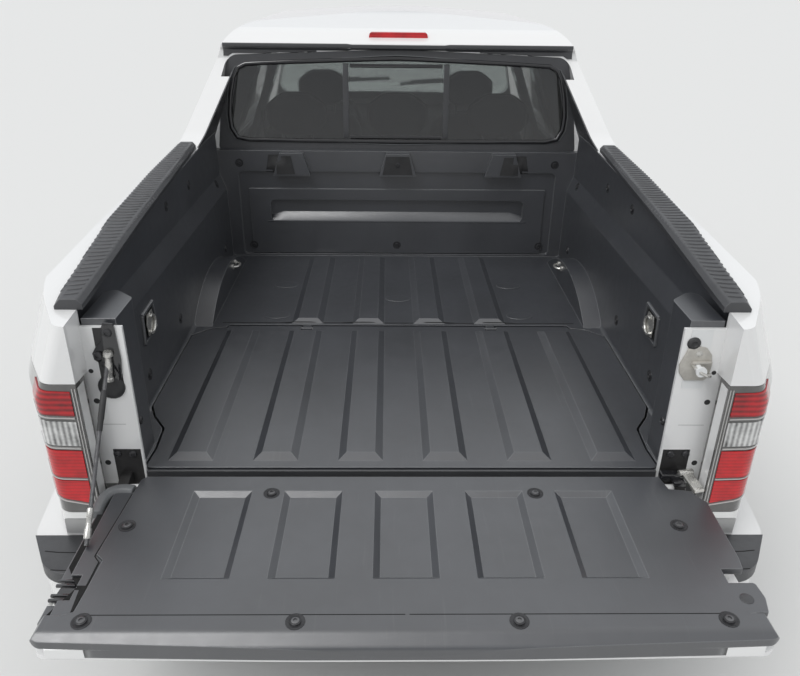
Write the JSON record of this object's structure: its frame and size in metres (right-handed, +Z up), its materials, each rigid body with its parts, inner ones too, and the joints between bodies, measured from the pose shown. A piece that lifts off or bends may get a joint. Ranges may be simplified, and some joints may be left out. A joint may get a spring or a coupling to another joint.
{
  "type": "pickup truck with an in-bed trunk",
  "caption": "Crew cab pickup truck with opening doors, hood, drop tailgate, lidded trunk under the bed floor, steered front wheels and free-rolling wheels.",
  "frame": {"origin": "on the ground under the middle of the truck, tailgate lowered", "axes": "+X to the truck's right, +Y to its front, +Z up"},
  "size_m": [2.2126, 5.6012, 1.7699],
  "materials": {
    "body_paint": "white clear-coated paint",
    "bed_plastic": "grained dark composite",
    "trim_black": "grained black plastic",
    "glass": "tinted safety glass",
    "clear_glass": "lightly tinted laminated glass",
    "tail_lens": "moulded red and clear lens",
    "head_lens": "clear lens over a bright reflector",
    "tyre": "black rubber",
    "alloy": "machined and painted alloy",
    "steel_dark": "coated chassis steel",
    "steel": "plain steel",
    "engine_metal": "cast alloy",
    "seat_cloth": "woven grey cloth",
    "interior": "dark grey soft-touch plastic",
    "chrome": "bright trim"
  },
  "bodies": {
    "root": {"bed_liner": "bed_plastic", "bed_sides": "body_paint", "cab_shell": "body_paint", "dashboard": "interior", "engine": "engine_metal", "exhaust": "steel", "front_bumper": "body_paint", "front_fenders": "body_paint", "front_seats": "seat_cloth", "front_suspension": "steel_dark", "fuel_tank": "trim_black", "gate_catches": "steel_dark", "grille": "chrome", "headlamps": "head_lens", "hitch_receiver": "steel_dark", "propeller_shaft": "steel_dark", "rail_caps": "trim_black", "rear_bumper": "body_paint", "rear_seat": "seat_cloth", "rear_sill_panel": "trim_black", "rear_suspension": "steel_dark", "rear_window": "glass", "rear_window_frame": "trim_black", "sail_trims": "trim_black", "step_pads": "trim_black", "stop_lamp": "tail_lens", "tail_lamps": "tail_lens", "tailgate_cable": "steel", "tailgate_hinges": "steel_dark", "trunk_tub": "bed_plastic", "underbody": "steel_dark", "wheel_arch_liners": "trim_black", "windshield": "clear_glass"},
    "door_front_left": {"door_front_left": "body_paint", "glass_front_left": "glass", "mirror_left": "body_paint"},
    "door_front_right": {"door_front_right": "body_paint", "glass_front_right": "glass", "mirror_right": "body_paint"},
    "door_rear_left": {"door_rear_left": "body_paint", "glass_rear_left": "glass"},
    "door_rear_right": {"door_rear_right": "body_paint", "glass_rear_right": "glass"},
    "hood": {"hood": "body_paint"},
    "trunk_lid": {"trunk_lid": "bed_plastic"},
    "tailgate": {"tailgate_shell": "body_paint", "tailgate_liner": "bed_plastic", "tailgate_latch": "trim_black"},
    "steer_left": {"knuckle_left": "steel_dark"},
    "steer_right": {"knuckle_right": "steel_dark"},
    "steering_wheel": {"steering_wheel": "interior"},
    "wheel_front_left": {"tyre_front_left": "tyre", "rim_front_left": "alloy"},
    "wheel_front_right": {"tyre_front_right": "tyre", "rim_front_right": "alloy"},
    "wheel_rear_left": {"tyre_rear_left": "tyre", "rim_rear_left": "alloy"},
    "wheel_rear_right": {"tyre_rear_right": "tyre", "rim_rear_right": "alloy"}
  },
  "joints": [
    {"name": "door_front_left_hinge", "type": "hinge", "parent": "root", "child": "door_front_left", "pos_m": [-0.93, 1.2675, 0.7], "axis": [0, 0, -1], "range_deg": [0, 65]},
    {"name": "door_rear_left_hinge", "type": "hinge", "parent": "root", "child": "door_rear_left", "pos_m": [-0.93, 0.2405, 0.7], "axis": [0, 0, -1], "range_deg": [0, 65]},
    {"name": "door_front_right_hinge", "type": "hinge", "parent": "root", "child": "door_front_right", "pos_m": [0.93, 1.2675, 0.7], "axis": [0, 0, 1], "range_deg": [0, 65]},
    {"name": "door_rear_right_hinge", "type": "hinge", "parent": "root", "child": "door_rear_right", "pos_m": [0.93, 0.2405, 0.7], "axis": [0, 0, 1], "range_deg": [0, 65]},
    {"name": "hood_hinge", "type": "hinge", "parent": "root", "child": "hood", "pos_m": [0, 1.3735, 1.146], "axis": [1, 0, 0], "range_deg": [0, 45]},
    {"name": "trunk_lid_hinge", "type": "hinge", "parent": "root", "child": "trunk_lid", "pos_m": [0, -1.4855, 0.828], "axis": [-1, 0, 0], "range_deg": [0, 60]},
    {"name": "tailgate_hinge", "type": "hinge", "parent": "root", "child": "tailgate", "pos_m": [0, -2.3275, 0.811], "axis": [-1, 0, 0], "range_deg": [0, 90], "deforming": ["tailgate_cable"]},
    {"name": "steer_left", "type": "hinge", "parent": "root", "child": "steer_left", "pos_m": [-0.8, 1.8625, 0.235], "axis": [0.2243, 0, 0.9745], "range_deg": [-33, 33]},
    {"name": "wheel_front_left_spin", "type": "hinge", "parent": "steer_left", "child": "wheel_front_left", "pos_m": [-0.852, 1.8625, 0.375], "axis": [1, 0, 0], "continuous": true},
    {"name": "wheel_rear_left_spin", "type": "hinge", "parent": "root", "child": "wheel_rear_left", "pos_m": [-0.8495, -1.2365, 0.375], "axis": [1, 0, 0], "continuous": true},
    {"name": "steer_right", "type": "hinge", "parent": "root", "child": "steer_right", "pos_m": [0.8, 1.8625, 0.235], "axis": [-0.2243, 0, 0.9745], "range_deg": [-33, 33]},
    {"name": "wheel_front_right_spin", "type": "hinge", "parent": "steer_right", "child": "wheel_front_right", "pos_m": [0.852, 1.8625, 0.375], "axis": [1, 0, 0], "continuous": true},
    {"name": "wheel_rear_right_spin", "type": "hinge", "parent": "root", "child": "wheel_rear_right", "pos_m": [0.8495, -1.2365, 0.375], "axis": [1, 0, 0], "continuous": true},
    {"name": "steering_wheel_turn", "type": "hinge", "parent": "root", "child": "steering_wheel", "pos_m": [-0.38, 0.8875, 1.09], "axis": [0, -0.9063, 0.4226], "range_deg": [-540, 540]}
  ],
  "couplings": [
    {"joint": "steer_right", "follows": "steer_left", "ratio": 1},
    {"joint": "steering_wheel_turn", "follows": "steer_left", "ratio": 16}
  ]
}
